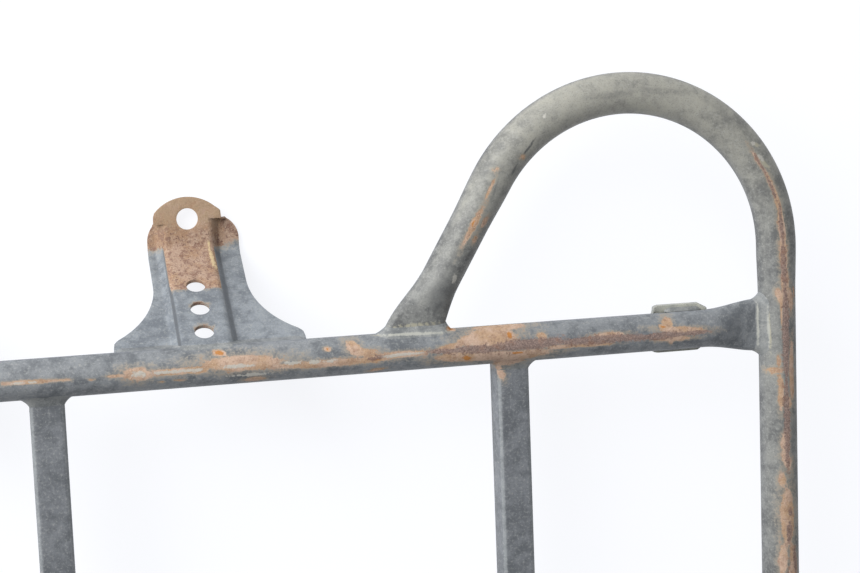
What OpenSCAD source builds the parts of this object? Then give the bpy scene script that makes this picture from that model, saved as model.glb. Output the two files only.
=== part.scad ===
// Rear cargo rack for a quad bike: a welded frame of bent round tube with a D-shaped tie-down loop at each
// front corner, three square-tube slats, four pressed mounting brackets and two saddle plates.
// +X is the rider's right, +Y points forward and +Z up. The origin is on the surface that the bracket feet
// stand on, under the middle of the rack.

/* [Rack] */
// Distance between the centre lines of the two side rails
rack_w = 860; // [800:5:920]
// Distance between the centre lines of the front cross tube and the rear tube
bay_d = 400; // [360:5:460]
// Height of the tube centre lines above the surface that the feet stand on
axis_h = 78; // [74:1:90]

/* [Round tube] */
// Outside diameter of the round tube
tube_d = 22.2; // [21:0.1:23]
// Wall of the round tube
tube_wall = 1.6; // [1.2:0.1:2]
// Centre-line radius of every bend in the round tube
bend_r = 94; // [88:1:98]
// Straight tangent left on the rear tube past each corner bend, up to its butt joint
corner_tangent = 20; // [10:1:40]

/* [D-loops] */
// How far forward of the front cross tube the centre of the loop's arc lies
loop_y = 47; // [42:1:56]
// Sine of the angle between the loop's straight leg and the side rail, which is 30.5 degrees
leg_sine = 0.507688; // [0.48:0.01:0.54]

/* [Flattened tube ends] */
// Width of a tube end that is pressed flat to meet another tube
flat_w = 32; // [28:0.5:33]
// Thickness of the flattened end
flat_t = 7; // [6:0.5:9]
// Distance from the other tube's centre line at which the flattening starts
flat_start = 44; // [38:1:50]

/* [Slats] */
// Width and height of the square slat tube
slat_w = 19; // [18:0.5:20]
// Wall of the slat tube
slat_wall = 1.5; // [1:0.1:2]
// Corner radius of the slat tube
slat_r = 3; // [2:0.5:4]
// Distance between the centre lines of neighbouring slats
slat_pitch = 264; // [240:2:280]
// Height of the slats' top faces above the tube centre lines
slat_rise = 1.5; // [0:0.5:2]

/* [Brackets] */
// Distance of each bracket's line of holes from the middle of the rack
bracket_x = 88; // [80:1:110]
// Sheet thickness of the pressed bracket
sheet = 2.3; // [2:0.1:2.5]
// Slope of the bracket's web below the plane of the rack
slope = 56; // [54:0.5:58]
// Distance of the web's middle plane from the tube's centre line
web_reach = 9.8; // [9.4:0.1:10]
// Width of the raised web
web_w = 26.5; // [24:0.5:32]
// Height of the web above the flanges
hat_depth = 6; // [5:0.5:7]
// Draft of the walls between web and flanges
draft = 38; // [15:1:45]
// Width across the two flanges
flange_w = 54; // [52:1:58]
// How far the flanges are set outboard of the line of holes
flange_shift = 3.5; // [0:0.5:4]
// Width of the flared base along the tube
base_w = 107; // [100:1:112]
// Radius of the concave flare on each side of the bracket
flare_r = 55; // [50:1:60]
// Distance of the flares' centres down the slope
flare_s = 66; // [64:1:68]
// Diameter of the three holes in the web
web_hole_d = 11; // [9:0.1:11.5]
// Distance of the first web hole down the slope
web_hole_s = 16.4; // [15:0.1:18]
// Distance between the web holes
web_hole_pitch = 20; // [18:0.5:22]
// Diameter of the bolt hole in the foot
bolt_d = 12.7; // [10:0.1:13]
// Distance of the foot's bolt hole forward of the tube's centre line
bolt_y = 77; // [76:0.5:78]
// Distance of the flange lobes' front ends forward of the tube's centre line
lobe_y = 78; // [77:0.5:79]
// Corner radius of the flange lobes
lobe_r = 14; // [12:0.5:15]
// Radius of the tab's round front
tab_r = 25; // [24:0.5:26]
// Width of the tab in front of the flange lobes
tab_w = 40; // [38:0.5:42]
// Distance of the tab's tip forward of the tube's centre line
tab_y = 90; // [88:0.5:92]

/* [Saddle plates] */
// Distance of each saddle plate's middle from the side rail's centre line
saddle_in = 60; // [52:1:70]
// Length of the plate along the cross tube
saddle_l = 34; // [30:1:40]
// Width of the plate across the cross tube
saddle_w = 29; // [27:0.5:32]
// How far the plate is set forward of the cross tube's centre line
saddle_shift = 0.8; // [0:0.1:1.5]
// Thickness of the plate under the tube
saddle_t = 2.5; // [2:0.1:3]
// Height of the lips above the plate's underside
saddle_lip = 6; // [5:0.5:7]
// Corner radius of the plate
saddle_r = 4; // [2:0.5:5]

/* [Weld beads] */
// Leg of the weld beads between tubes
weld_leg = 3; // [2:0.5:4]
// Radius of the bead between a bracket and its tube
bracket_bead_r = 2.6; // [2.2:0.1:2.7]
// Radius of the bead between a saddle plate's lip and the tube
saddle_bead_r = 1.8; // [1.5:0.1:2]
// Height of the butt joint's bead above the tube
butt_bead = 1.2; // [0.8:0.1:1.5]

/* [Hidden] */
$fn = 64;
tube_r = tube_d / 2;
bore_r = tube_r - tube_wall;
rail_x = rack_w / 2;
rack_len = bay_d + loop_y + bend_r + tube_d;
// The bounding box is centred on Y = 0
front_y = rack_len / 2 - tube_r - bend_r - loop_y;
rear_y = front_y - bay_d;
joint_y = rear_y + bend_r + corner_tangent;
leg_angle = asin(leg_sine);
// Straight leg of the loop, from the end of the arc to the cross tube's centre line
leg_len = (loop_y + bend_r * sin(leg_angle)) / cos(leg_angle);
foot_x = rail_x - bend_r - bend_r * cos(leg_angle) - leg_len * sin(leg_angle);
slat_z = slat_rise - slat_w / 2;
// The slats stop short of the tubes' centre lines, and are coped to the tubes
slat_stop = 4;
// The flattened ends run past the other tube's surface and are coped to it
flat_end = 9;
// Whole millimetres down the leg from the arc's end: where the flattening starts, is complete, and stops
leg_flat_from = round(leg_len - flat_start);
leg_flat_to = round(leg_len - 15);
leg_stop = round(leg_len - 1);
// Middle plane of the web in the foot, and where the sloping web's middle plane meets it
foot_z = hat_depth + sheet / 2 - axis_h;
bend_s = (web_reach * cos(slope) - foot_z) / sin(slope);
bend_y = bend_s * cos(slope) + web_reach * sin(slope);
// The sloping sheet starts here, inside the tube's surface
web_start = 3;
// Where the beads along a bracket lie: down the slope, above the sheet, and short of its corners
web_bead_s = 6;
bead_lift = 0.5;
bead_gap = 0.4;
cut = 400;
eps = 0.01;
paint = "#4b5054";
bead_grey = "#565a5c";
saddle_olive = "#6f6c58";

// ---- Helpers ----

// A shape built on the right-hand side, drawn there (side = 1) or mirrored to the left (side = -1)
module on_side(side) {
    mirror([side < 0 ? 1 : 0, 0, 0]) children();
}

// Round bar along X, centred
module bar_x(r, len) {
    rotate([0, 90, 0]) cylinder(r = r, h = len, center = true);
}

// Round bar along Y from y0 to y1
module bar_y(r, y0, y1) {
    translate([0, y0, 0]) rotate([-90, 0, 0]) cylinder(r = r, h = y1 - y0);
}

// Part of a bent round bar: a ring segment in the plane of the rack, from angle a0 through sweep
module bend(r, a0, sweep) {
    rotate([0, 0, a0]) rotate_extrude(angle = sweep, $fn = 128) translate([bend_r, 0]) circle(r = r);
}

// Slot shape with round ends, long side along X
module stadium(w, t) {
    square([w - t, t], center = true);
    for (s = [-1, 1]) translate([s * (w - t) / 2, 0]) circle(d = t);
}

// Square with round corners
module round_square(w, l, r) {
    square([w - 2 * r, l], center = true);
    square([w, l - 2 * r], center = true);
    for (sx = [-1, 1], sy = [-1, 1]) translate([sx * (w / 2 - r), sy * (l / 2 - r)]) circle(r = r);
}

// Transition from a round section at z0 to a flattened one at z1, along the bar's own Z
module flatten(r, w, t, z0, z1) {
    hull() {
        translate([0, 0, z0]) cylinder(r = r, h = eps, $fn = 48);
        translate([0, 0, z1 - eps]) linear_extrude(eps, $fn = 32) stadium(w, t);
    }
}

// The solid space of each straight tube, used to cope what meets it
module front_space() {
    translate([0, front_y, axis_h]) bar_x(tube_r, rack_w - 2 * tube_d);
}

module rear_space() {
    translate([0, rear_y, axis_h]) bar_x(tube_r, rack_w - 2 * bend_r);
}

module rail_space() {
    translate([rail_x, 0, axis_h]) bar_y(tube_r, joint_y, front_y + loop_y);
}

// ---- Bent and straight round tubes ----

// The frame of the loop's arc, turned so that the arc ends on its X axis
module on_arc() {
    translate([rail_x - bend_r, front_y + loop_y, axis_h]) rotate([0, 0, 180 - leg_angle]) children();
}

// The loop's leg: its own Z runs down the leg from the arc's end
module on_leg() {
    on_arc() translate([bend_r, 0, 0]) rotate([-90, 0, 0]) children();
}

// The loop's arc: a full ring, cut off at the rail's end and at the leg's start
module loop_arc(r) {
    reach = 2 * bend_r;
    intersection() {
        translate([rail_x - bend_r, front_y + loop_y, axis_h]) bend(r, 0, 360);
        translate([rail_x - bend_r - reach, front_y + loop_y, 0]) cube([2 * reach, reach, 2 * axis_h]);
        on_arc() translate([-reach, -reach, -axis_h]) cube([2 * reach, reach, 2 * axis_h]);
    }
}

module side_bar(r, w, t) {
    translate([rail_x, 0, axis_h]) bar_y(r, joint_y, front_y + loop_y);
    loop_arc(r);
    on_leg() {
        cylinder(r = r, h = leg_flat_from);
        flatten(r, w, t, leg_flat_from, leg_flat_to);
        translate([0, 0, leg_flat_to]) linear_extrude(leg_stop - leg_flat_to) stadium(w, t);
    }
}

// Side rail and D-loop, bent from one length of tube
module side_tube(side) {
    color(paint) on_side(side) difference() {
        side_bar(tube_r, flat_w, flat_t);
        side_bar(bore_r, flat_w - 2 * tube_wall, flat_t - 2 * tube_wall);
        front_space();
    }
}

module rear_bar(r) {
    translate([0, rear_y, axis_h]) bar_x(r, rack_w - 2 * bend_r);
    for (side = [-1, 1]) on_side(side) {
        translate([rail_x - bend_r, rear_y + bend_r, axis_h]) bend(r, -90, 90);
        translate([rail_x, 0, axis_h]) bar_y(r, rear_y + bend_r, joint_y);
    }
}

// Rear tube with its two corner bends
module rear_tube() {
    color(paint) difference() {
        rear_bar(tube_r);
        rear_bar(bore_r);
    }
}

// The cross tube's end: its own Z runs outward from the start of the flattening
module on_cross_end() {
    translate([rail_x - flat_start, front_y, axis_h]) rotate([-90, 0, 0]) rotate([0, 90, 0]) children();
}

module cross_bar(r, w, t) {
    translate([0, front_y, axis_h]) bar_x(r, rack_w - 2 * flat_start);
    for (side = [-1, 1]) on_side(side) on_cross_end() flatten(r, w, t, 0, flat_start - flat_end);
}

// Front cross tube with both ends pressed flat against the side rails
module front_cross_tube() {
    color(paint) difference() {
        cross_bar(tube_r, flat_w, flat_t);
        cross_bar(bore_r, flat_w - 2 * tube_wall, flat_t - 2 * tube_wall);
        for (side = [-1, 1]) on_side(side) rail_space();
    }
}

// ---- Slats ----

module slat_bar(w, r, y0, y1) {
    translate([0, y1, axis_h + slat_z]) rotate([90, 0, 0]) linear_extrude(y1 - y0) round_square(w, w, r);
}

// Square slat, coped to the front cross tube and the rear tube
module slat(i) {
    color(paint) translate([i * slat_pitch, 0, 0]) difference() {
        slat_bar(slat_w, slat_r, rear_y + slat_stop, front_y - slat_stop);
        slat_bar(slat_w - 2 * slat_wall, slat_r - slat_wall, rear_y, front_y);
        front_space();
        rear_space();
    }
}

// ---- Pressed brackets ----

// Section across the sheet: raised web, two drafted walls and two flanges. The web's middle plane is y = 0.
module hat_section() {
    half = web_w / 2;
    run = tan(draft);
    skin = sheet / cos(draft);
    top = sheet / 2;
    low = top - hat_depth;
    left = flange_shift - base_w / 2;
    right = flange_shift + base_w / 2;
    foot = half + hat_depth * run;
    inner_foot = foot - skin + sheet * run;
    inner_top = half - skin + sheet * run;
    polygon([
        [left, low - sheet], [left, low], [-foot, low], [-half, top], [half, top], [foot, low], [right, low],
        [right, low - sheet], [inner_foot, low - sheet], [inner_top, top - sheet],
        [-inner_top, top - sheet], [-inner_foot, low - sheet]
    ]);
}

// The same section drawn out along Y from y0 to y1
module hat_sheet(y0, y1) {
    translate([0, y1, 0]) rotate([90, 0, 0]) linear_extrude(y1 - y0) hat_section();
}

// Outline of the sloping part: a flared base that narrows in two concave arcs
module slope_outline() {
    translate([flange_shift, 0]) difference() {
        translate([-base_w / 2, web_start]) square([base_w, cut / 2]);
        for (s = [-1, 1]) {
            translate([s * (flange_w / 2 + flare_r), flare_s]) circle(r = flare_r, $fn = 96);
            translate([s * (flange_w / 2 + flare_r) - flare_r, flare_s]) square([2 * flare_r, cut / 2]);
        }
    }
}

// Outline of the foot's flanges, with round lobes in front
module lobe_outline() {
    half = flange_w / 2;
    translate([flange_shift, 0]) {
        translate([-half, 0]) square([flange_w, lobe_y - lobe_r]);
        translate([lobe_r - half, 0]) square([flange_w - 2 * lobe_r, lobe_y]);
        for (s = [-1, 1]) translate([s * (half - lobe_r), lobe_y - lobe_r]) circle(r = lobe_r);
    }
}

// The round tab that carries the bolt hole
module tab_outline() {
    intersection() {
        translate([0, tab_y - tab_r]) circle(r = tab_r, $fn = 96);
        translate([-tab_w / 2, lobe_y - 1]) square([tab_w, tab_r]);
    }
}

// Half of space behind (dir = -1) or in front of (dir = 1) the bracket's bend
module mitre(dir) {
    translate([0, bend_y, foot_z]) rotate([-slope / 2, 0, 0])
        translate([0, dir * cut / 2, 0]) cube([cut, cut, cut], center = true);
}

// Frame of the sloping sheet: its own Y runs down the slope from the point nearest the tube's centre line,
// and Z = 0 is the web's middle plane
module on_slope() {
    rotate([-slope, 0, 0]) translate([0, 0, web_reach]) children();
}

// The bracket with its tube's centre line on X
module bracket_sheet() {
    difference() {
        union() {
            intersection() {
                on_slope() hat_sheet(web_start, cut / 2);
                on_slope() translate([0, 0, -hat_depth - sheet])
                    linear_extrude(hat_depth + 2 * sheet) slope_outline();
                mitre(-1);
            }
            intersection() {
                translate([0, 0, foot_z]) hat_sheet(0, lobe_y);
                translate([0, 0, -axis_h]) linear_extrude(hat_depth + 2 * sheet) lobe_outline();
                mitre(1);
            }
            translate([0, 0, foot_z - sheet / 2]) linear_extrude(sheet) tab_outline();
        }
        for (i = [0:2]) on_slope() translate([0, web_hole_s + i * web_hole_pitch, 0])
            cylinder(d = web_hole_d, h = 4 * sheet, center = true);
        translate([0, bolt_y, foot_z]) cylinder(d = bolt_d, h = 4 * sheet, center = true);
        bar_x(tube_r, cut);
    }
}

// The rear brackets are the same pressing as the front ones, welded to the rear tube
module bracket(side, y) {
    color(paint) on_side(side) translate([bracket_x, y, axis_h]) bracket_sheet();
}

// ---- Saddle plates ----

module saddle_blank() {
    translate([rail_x - saddle_in, front_y + saddle_shift, axis_h - tube_r - saddle_t])
        linear_extrude(saddle_lip) round_square(saddle_l, saddle_w, saddle_r);
}

// Plate under the cross tube, hollowed to the tube so that a low lip stands on each side
module saddle_plate(side) {
    color(saddle_olive) on_side(side) difference() {
        saddle_blank();
        front_space();
    }
}

// ---- Weld beads ----

// Bead where a flattened end meets a side rail
module welds_cross_tube_ends() {
    color(bead_grey) for (side = [-1, 1]) on_side(side) difference() {
        intersection() {
            translate([rail_x, 0, axis_h]) bar_y(tube_r + weld_leg, front_y - flat_w, front_y + flat_w);
            on_cross_end() linear_extrude(flat_start)
                stadium(flat_w + 2 * weld_leg, flat_t + 2 * weld_leg);
        }
        rail_space();
        cross_bar(tube_r, flat_w, flat_t);
    }
}

// Bead where a loop's leg meets the front cross tube
module welds_loop_feet() {
    color(bead_grey) for (side = [-1, 1]) on_side(side) difference() {
        intersection() {
            translate([foot_x, front_y, axis_h]) bar_x(tube_r + weld_leg, 3 * flat_w);
            on_leg() translate([0, 0, leg_flat_from])
                linear_extrude(leg_stop - leg_flat_from) stadium(flat_w + 2 * weld_leg, flat_t + 2 * weld_leg);
        }
        front_space();
        side_bar(tube_r, flat_w, flat_t);
    }
}

// A stretch of slat across its tube's centre line, which lies on X
module slat_end(w, r) {
    translate([0, 0, slat_z]) rotate([90, 0, 0])
        linear_extrude(2 * tube_d, center = true) round_square(w, w, r);
}

// Beads around the slats' ends, on the front (dir = -1) or rear (dir = 1) tube
module slat_beads(y, dir) {
    bead_w = slat_w + 2 * weld_leg;
    for (i = [-1:1]) translate([i * slat_pitch, y, axis_h]) difference() {
        intersection() {
            bar_x(tube_r + weld_leg, bead_w);
            translate([-bead_w / 2, dir > 0 ? slat_stop : -tube_d, slat_z - bead_w / 2])
                cube([bead_w, tube_d - slat_stop, bead_w]);
            slat_end(bead_w, slat_r + weld_leg);
        }
        bar_x(tube_r, bead_w + 1);
        slat_end(slat_w, slat_r);
    }
}

module welds_slats_front() {
    color(bead_grey) slat_beads(front_y, -1);
}

module welds_slats_rear() {
    color(bead_grey) slat_beads(rear_y, 1);
}

// One bead along X from x0 to x1, lying on a sheet whose top face is at Z = top, down the slope by s
module sheet_bead(x0, x1, s, top) {
    difference() {
        translate([(x0 + x1) / 2, s, top + bead_lift]) bar_x(bracket_bead_r, x1 - x0);
        translate([x0 - 1, 0, top - tube_r]) cube([x1 - x0 + 2, tube_d, tube_r]);
    }
}

// Beads along the web and both flanges of one bracket
module bracket_beads() {
    web_top = web_reach + sheet / 2;
    flange_top = web_top - hat_depth;
    wall_foot = web_w / 2 + hat_depth * tan(draft) + bead_gap;
    flange_bead_s = sqrt(tube_r * tube_r - flange_top * flange_top) + 1;
    difference() {
        rotate([-slope, 0, 0]) {
            sheet_bead(-web_w / 2 + bead_gap, web_w / 2 - bead_gap, web_bead_s, web_top);
            sheet_bead(flange_shift - base_w / 2 + 1, -wall_foot, flange_bead_s, flange_top);
            sheet_bead(wall_foot, flange_shift + base_w / 2 - 1, flange_bead_s, flange_top);
        }
        bar_x(tube_r, cut);
    }
}

module welds_brackets(y) {
    color(bead_grey) for (side = [-1, 1]) on_side(side) translate([bracket_x, y, axis_h]) bracket_beads();
}

// A short bead along each of a saddle plate's two lips, against the tube
module welds_saddle_plates() {
    lip_z = saddle_lip - saddle_t - tube_r;
    bead_y = sqrt(tube_r * tube_r - lip_z * lip_z) + saddle_bead_r / 2;
    color(bead_grey) for (side = [-1, 1], s = [-1, 1]) on_side(side) difference() {
        translate([rail_x - saddle_in, front_y + s * bead_y, axis_h + lip_z + saddle_bead_r / 4])
            bar_x(saddle_bead_r, saddle_l - 3 * saddle_r);
        front_space();
        saddle_blank();
    }
}

// Ring of weld over each butt joint between a side tube and the rear tube
module welds_rail_joints() {
    color(bead_grey) for (side = [-1, 1]) on_side(side) translate([rail_x, 0, axis_h]) difference() {
        bar_y(tube_r + butt_bead, joint_y - weld_leg, joint_y + weld_leg);
        bar_y(tube_r, joint_y - 2 * weld_leg, joint_y + 2 * weld_leg);
    }
}

side_tube(1);  // side_tube_right
side_tube(-1);  // side_tube_left
rear_tube();
front_cross_tube();
slat(-1);  // slat_left
slat(0);  // slat_centre
slat(1);  // slat_right
bracket(1, front_y);  // front_bracket_right
bracket(-1, front_y);  // front_bracket_left
bracket(1, rear_y);  // rear_bracket_right
bracket(-1, rear_y);  // rear_bracket_left
saddle_plate(1);  // saddle_plate_right
saddle_plate(-1);  // saddle_plate_left
welds_cross_tube_ends();
welds_loop_feet();
welds_slats_front();
welds_slats_rear();
welds_brackets(front_y);  // welds_front_brackets
welds_brackets(rear_y);  // welds_rear_brackets
welds_saddle_plates();
welds_rail_joints();
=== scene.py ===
# Rear cargo rack for a quad bike: a welded frame of bent round tube with a D-shaped tie-down loop at each
# front corner, square-tube slats, pressed brackets and saddle plates, under thin, worn, rusting black paint.
import math

import bmesh
import bpy
import numpy as np
from mathutils import Matrix
from mathutils.geometry import delaunay_2d_cdt


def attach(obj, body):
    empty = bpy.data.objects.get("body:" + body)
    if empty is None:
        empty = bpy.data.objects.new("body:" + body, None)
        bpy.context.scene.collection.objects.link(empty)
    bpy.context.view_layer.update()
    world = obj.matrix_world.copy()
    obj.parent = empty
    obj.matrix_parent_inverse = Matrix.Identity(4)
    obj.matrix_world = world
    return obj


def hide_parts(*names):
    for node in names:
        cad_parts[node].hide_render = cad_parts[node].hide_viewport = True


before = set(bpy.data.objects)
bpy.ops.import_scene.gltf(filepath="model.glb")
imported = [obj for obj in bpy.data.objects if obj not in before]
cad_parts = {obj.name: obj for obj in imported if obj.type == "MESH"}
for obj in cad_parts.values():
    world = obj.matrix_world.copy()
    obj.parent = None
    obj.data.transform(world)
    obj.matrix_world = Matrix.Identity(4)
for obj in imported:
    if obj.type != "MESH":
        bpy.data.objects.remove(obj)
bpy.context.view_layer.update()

# ---- Studio ----
# The rack stands on its bracket feet on a white table, lit by one large softbox above its front left corner.
# The table glows a little, as a lit backdrop does, so that it has only faint shadows.

FOCAL_LENGTH = 71.163
CAMERA_AT = (-0.00923, 0.27888, 1.01246)
CAMERA_RIGHT = (0.970280, -0.038102, 0.238966)
CAMERA_UP = (0.064785, 0.992379, -0.104817)
CAMERA_BACK = (-0.233151, 0.117183, 0.965354)
TABLE_SIZE = 12.0
SOFTBOX_SIZE = 2.2
SOFTBOX_AT = (-1.45, 1.35, 1.6)
SOFTBOX_POWER = 98.0
SKY_STRENGTH = 0.28
TABLE_BELOW = 0.0004
TABLE_GLOW = 0.87
TABLE_ROUGHNESS = 0.9


def rgb(code):
    """An sRGB hex colour as the linear RGBA that shaders take."""
    parts = [int(code[i:i + 2], 16) / 255 for i in (1, 3, 5)]
    return tuple(c / 12.92 if c <= 0.04045 else ((c + 0.055) / 1.055) ** 2.4 for c in parts) + (1.0,)


def add(tree, kind, inputs=None, **settings):
    """Adds a node: settings are its own properties, and inputs are values or sockets to link."""
    made = tree.nodes.new("ShaderNode" + kind)
    for key, value in settings.items():
        setattr(made, key, value)
    for key, value in (inputs or {}).items():
        if isinstance(value, bpy.types.NodeSocket):
            tree.links.new(value, made.inputs[key])
        else:
            made.inputs[key].default_value = value
    return made


view = bpy.context.scene.view_settings
view.view_transform = "Standard"

camera = bpy.data.objects.new("camera", bpy.data.cameras.new("camera"))
camera.data.lens = FOCAL_LENGTH
camera.matrix_world = Matrix((
    (CAMERA_RIGHT[0], CAMERA_UP[0], CAMERA_BACK[0], CAMERA_AT[0]),
    (CAMERA_RIGHT[1], CAMERA_UP[1], CAMERA_BACK[1], CAMERA_AT[1]),
    (CAMERA_RIGHT[2], CAMERA_UP[2], CAMERA_BACK[2], CAMERA_AT[2]),
    (0, 0, 0, 1),
))
bpy.context.scene.collection.objects.link(camera)
bpy.context.scene.camera = camera

softbox = bpy.data.objects.new("softbox", bpy.data.lights.new("softbox", "AREA"))
softbox.data.size = SOFTBOX_SIZE
softbox.data.energy = SOFTBOX_POWER
softbox.location = SOFTBOX_AT
softbox.rotation_mode = "QUATERNION"
softbox.rotation_quaternion = softbox.location.to_track_quat("Z", "Y")
bpy.context.scene.collection.objects.link(softbox)

world = bpy.data.worlds.new("studio")
world.use_nodes = True
world.node_tree.nodes["Background"].inputs["Color"].default_value = rgb("#f3f6fc")
world.node_tree.nodes["Background"].inputs["Strength"].default_value = SKY_STRENGTH
bpy.context.scene.world = world

half = TABLE_SIZE / 2
table_mesh = bpy.data.meshes.new("table")
table_corners = [(-half, -half, 0), (half, -half, 0), (half, half, 0), (-half, half, 0)]
table_mesh.from_pydata(table_corners, [], [(0, 1, 2, 3)])
table = bpy.data.objects.new("table", table_mesh)
table.location.z = -TABLE_BELOW
bpy.context.scene.collection.objects.link(table)
table_white = bpy.data.materials.new("white_table")
table_white.use_nodes = True
table_shader = table_white.node_tree.nodes["Principled BSDF"]
table_shader.inputs["Base Color"].default_value = rgb("#77787b")
table_shader.inputs["Roughness"].default_value = TABLE_ROUGHNESS
table_shader.inputs["Specular IOR Level"].default_value = 0.0
table_shader.inputs["Emission Color"].default_value = rgb("#fbfcff")
table_shader.inputs["Emission Strength"].default_value = TABLE_GLOW
table_mesh.materials.append(table_white)

# ---- Side tubes ----
# Each side rail and its D-loop are one length of 22.2 mm steel tube, bent cold, so that the bend is a little
# oval. The loop's end is pressed flat and welded on edge to the front cross tube. The tube is painted black.

MM = 0.001
RAIL_X = 430.0
FRONT_Y = 129.5
REAR_Y = -270.5
JOINT_Y = -156.5
AXIS_Z = 78.0
TUBE_R = 11.1
BEND_R = 94.0
LOOP_Y = 47.0
LEG_ANGLE = math.asin(0.507688)
FLAT_W = 32.0
FLAT_T = 7.0
FLAT_START = 44.0
FLATTEST = 0.97
AROUND = 64
STEP = 2.0
OVAL = 0.9
CREASE = math.radians(38)


def blend(low, high, value):
    """A smooth step from 0 at low to 1 at high."""
    t = np.clip((value - low) / (high - low), 0, 1)
    return t * t * (3 - 2 * t)


def tube_outline(flatness, oval=0.0):
    """Outline across a tube as (sideways, up) in mm: flatness 0 is round, 1 is flat, and oval widens it."""
    turn = np.arange(AROUND) * 2 * math.pi / AROUND
    circle = np.stack([(TUBE_R + oval) * np.cos(turn), (TUBE_R - oval) * np.sin(turn)], 1)
    straight = FLAT_W - FLAT_T
    edge = 2 * straight + math.pi * FLAT_T
    walk = turn / (2 * math.pi) * edge
    quarter = math.pi * FLAT_T / 4
    pressed = np.zeros((AROUND, 2))
    for i, w in enumerate(walk):
        side = 1
        if w > edge / 2:
            w, side = w - edge / 2, -1
        if w < quarter:
            a = w / (FLAT_T / 2)
            p = (straight / 2 + FLAT_T / 2 * math.cos(a), FLAT_T / 2 * math.sin(a))
        elif w < quarter + straight:
            p = (straight / 2 - (w - quarter), FLAT_T / 2)
        else:
            a = math.pi / 2 + (w - quarter - straight) / (FLAT_T / 2)
            p = (-straight / 2 + FLAT_T / 2 * math.cos(a), FLAT_T / 2 * math.sin(a))
        pressed[i] = side * p[0], side * p[1]
    return circle * (1 - flatness) + pressed * flatness


def tube_mesh(name, centres, sideways, outlines):
    """A capped tube through centres: each ring is its outline, along the sideways direction and world up."""
    centres, sideways = np.asarray(centres, float), np.asarray(sideways, float)
    up = np.array([0.0, 0.0, 1.0])
    rings = np.array([c + o[:, :1] * s + o[:, 1:] * up for c, s, o in zip(centres, sideways, outlines)])
    count, around = rings.shape[:2]
    points = np.vstack([rings.reshape(-1, 3), centres[:1], centres[-1:]])
    faces = []
    for i in range(count - 1):
        for j in range(around):
            k = (j + 1) % around
            faces.append((i * around + j, i * around + k, (i + 1) * around + k, (i + 1) * around + j))
    last = (count - 1) * around
    for j in range(around):
        k = (j + 1) % around
        faces.append((k, j, count * around))
        faces.append((last + j, last + k, count * around + 1))
    return piece_from(name, points, faces)


def piece_from(name, points, faces):
    """A smooth-shaded object from points in mm, with its normals turned outward."""
    mesh = bpy.data.meshes.new(name)
    mesh.from_pydata((np.asarray(points) * MM).tolist(), [], faces)
    turned = bmesh.new()
    turned.from_mesh(mesh)
    bmesh.ops.recalc_face_normals(turned, faces=turned.faces)
    turned.to_mesh(mesh)
    turned.free()
    mesh.shade_smooth()
    made = bpy.data.objects.new(name, mesh)
    bpy.context.scene.collection.objects.link(made)
    return made


def pressed_at(gap):
    """How far a tube's end is pressed flat, at that distance from the other tube's centre line."""
    return FLATTEST * blend(FLAT_START + 4, 11, gap)


LEG_LENGTH = (LOOP_Y + BEND_R * math.sin(LEG_ANGLE)) / math.cos(LEG_ANGLE)


def side_path(mirror):
    """Centres, sideways directions and outlines down a side tube, from its butt joint to its pressed foot."""
    centres, sideways, outlines = [], [], []
    for y in np.arange(JOINT_Y - 1, FRONT_Y + LOOP_Y, STEP):
        centres.append((RAIL_X, y, AXIS_Z))
        sideways.append((1, 0, 0))
        outlines.append(tube_outline(0, OVAL * blend(FRONT_Y + LOOP_Y - 30, FRONT_Y + LOOP_Y, y)))
    for a in np.linspace(0, math.pi - LEG_ANGLE, 120):
        out = np.array([math.cos(a), math.sin(a), 0])
        centres.append(np.array([RAIL_X - BEND_R, FRONT_Y + LOOP_Y, AXIS_Z]) + BEND_R * out)
        sideways.append(out)
        outlines.append(tube_outline(0, OVAL))
    start, out = centres[-1], sideways[-1]
    down = np.array([-math.sin(LEG_ANGLE), -math.cos(LEG_ANGLE), 0])
    for d in np.append(np.arange(STEP, LEG_LENGTH - 3, STEP), LEG_LENGTH - 3):
        centres.append(start + d * down)
        sideways.append(out)
        outlines.append(tube_outline(pressed_at(LEG_LENGTH - d), OVAL * (1 - blend(0, 30, d))))
    turn = np.array([mirror, 1, 1])
    return np.array(centres) * turn, np.array(sideways) * turn, outlines


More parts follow.
